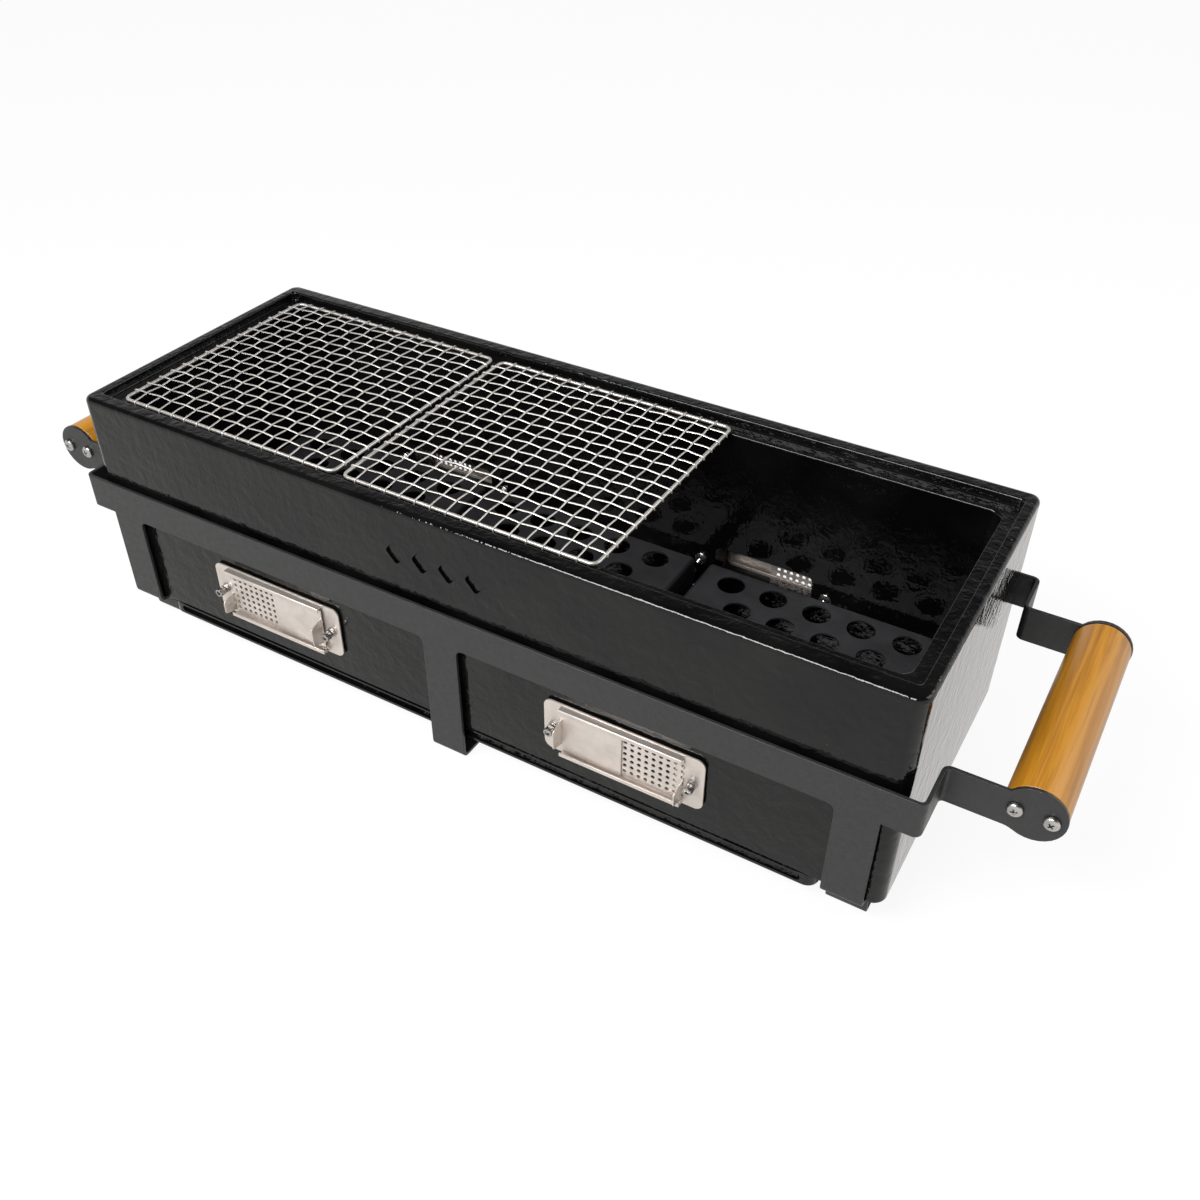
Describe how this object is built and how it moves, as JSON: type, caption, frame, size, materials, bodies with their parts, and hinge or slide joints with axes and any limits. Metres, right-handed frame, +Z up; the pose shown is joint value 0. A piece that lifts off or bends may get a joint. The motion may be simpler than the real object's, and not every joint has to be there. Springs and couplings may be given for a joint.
{
  "type": "tabletop charcoal grill",
  "caption": "Long tabletop charcoal grill: glazed ceramic firebox in a bent steel carrier with wooden grips, sliding air vents, perforated charcoal plates and loose wire grates.",
  "frame": {"origin": "centre of the bounding box on the table plane, under the straps", "axes": "+X along the length towards the right-hand grip, -Y towards the front, +Z up"},
  "size_m": [0.9342, 0.3074, 0.227],
  "materials": {
    "ceramic": "glossy black glaze",
    "coated_steel": "fine textured dark grey powder coat",
    "wood": "clear lacquered turned wood",
    "vent_steel": "brushed stainless",
    "fasteners": "bright stainless",
    "coal_steel": "dark heat-proof coated steel",
    "grate_wire": "bright drawn wire"
  },
  "bodies": {
    "firebox_and_carrier": {"body": "ceramic", "frame_front": "coated_steel", "frame_rear": "coated_steel", "strap_left": "coated_steel", "strap_centre": "coated_steel", "strap_right": "coated_steel", "handle_left": "wood", "handle_right": "wood", "handle_left_screw_front_inner": "fasteners", "handle_left_screw_front_outer": "fasteners", "handle_left_screw_rear_inner": "fasteners", "handle_left_screw_rear_outer": "fasteners", "handle_right_screw_front_inner": "fasteners", "handle_right_screw_front_outer": "fasteners", "handle_right_screw_rear_inner": "fasteners", "handle_right_screw_rear_outer": "fasteners", "vent_fl_plate": "vent_steel", "vent_fl_screen": "vent_steel", "vent_fl_screw_left": "fasteners", "vent_fl_nut_left": "fasteners", "vent_fl_screw_right": "fasteners", "vent_fl_nut_right": "fasteners", "vent_fr_plate": "vent_steel", "vent_fr_screen": "vent_steel", "vent_fr_screw_left": "fasteners", "vent_fr_nut_left": "fasteners", "vent_fr_screw_right": "fasteners", "vent_fr_nut_right": "fasteners", "vent_rl_plate": "vent_steel", "vent_rl_screen": "vent_steel", "vent_rl_screw_left": "fasteners", "vent_rl_nut_left": "fasteners", "vent_rl_screw_right": "fasteners", "vent_rl_nut_right": "fasteners", "vent_rr_plate": "vent_steel", "vent_rr_screen": "vent_steel", "vent_rr_screw_left": "fasteners", "vent_rr_nut_left": "fasteners", "vent_rr_screw_right": "fasteners", "vent_rr_nut_right": "fasteners"},
    "shutter_fl": {"vent_fl_shutter": "vent_steel"},
    "shutter_fr": {"vent_fr_shutter": "vent_steel"},
    "shutter_rl": {"vent_rl_shutter": "vent_steel"},
    "shutter_rr": {"vent_rr_shutter": "vent_steel"},
    "coal_plate_left": {"coal_plate_left": "coal_steel"},
    "coal_plate_mid": {"coal_plate_mid": "coal_steel"},
    "coal_plate_right": {"coal_plate_right": "coal_steel"},
    "grate_left": {"grate_left_lower": "grate_wire", "grate_left_upper": "grate_wire"},
    "grate_mid": {"grate_mid_lower": "grate_wire", "grate_mid_upper": "grate_wire"}
  },
  "joints": [
    {"name": "shutter_fl_slide", "type": "slide", "parent": "firebox_and_carrier", "child": "shutter_fl", "axis": [-1, 0, 0], "range_m": [0, 0.046]},
    {"name": "shutter_fr_slide", "type": "slide", "parent": "firebox_and_carrier", "child": "shutter_fr", "axis": [1, 0, 0], "range_m": [0, 0.046]},
    {"name": "shutter_rl_slide", "type": "slide", "parent": "firebox_and_carrier", "child": "shutter_rl", "axis": [-1, 0, 0], "range_m": [0, 0.046]},
    {"name": "shutter_rr_slide", "type": "slide", "parent": "firebox_and_carrier", "child": "shutter_rr", "axis": [1, 0, 0], "range_m": [0, 0.046]},
    {"name": "coal_plate_left_lift", "type": "slide", "parent": "firebox_and_carrier", "child": "coal_plate_left", "axis": [0, 0, 1], "range_m": [0, 0.06]},
    {"name": "coal_plate_mid_lift", "type": "slide", "parent": "firebox_and_carrier", "child": "coal_plate_mid", "axis": [0, 0, 1], "range_m": [0, 0.06]},
    {"name": "coal_plate_right_lift", "type": "slide", "parent": "firebox_and_carrier", "child": "coal_plate_right", "axis": [0, 0, 1], "range_m": [0, 0.06]},
    {"name": "grate_left_lift", "type": "slide", "parent": "firebox_and_carrier", "child": "grate_left", "axis": [0, 0, 1], "range_m": [0, 0.06]},
    {"name": "grate_mid_lift", "type": "slide", "parent": "firebox_and_carrier", "child": "grate_mid", "axis": [0, 0, 1], "range_m": [0, 0.06]}
  ]
}
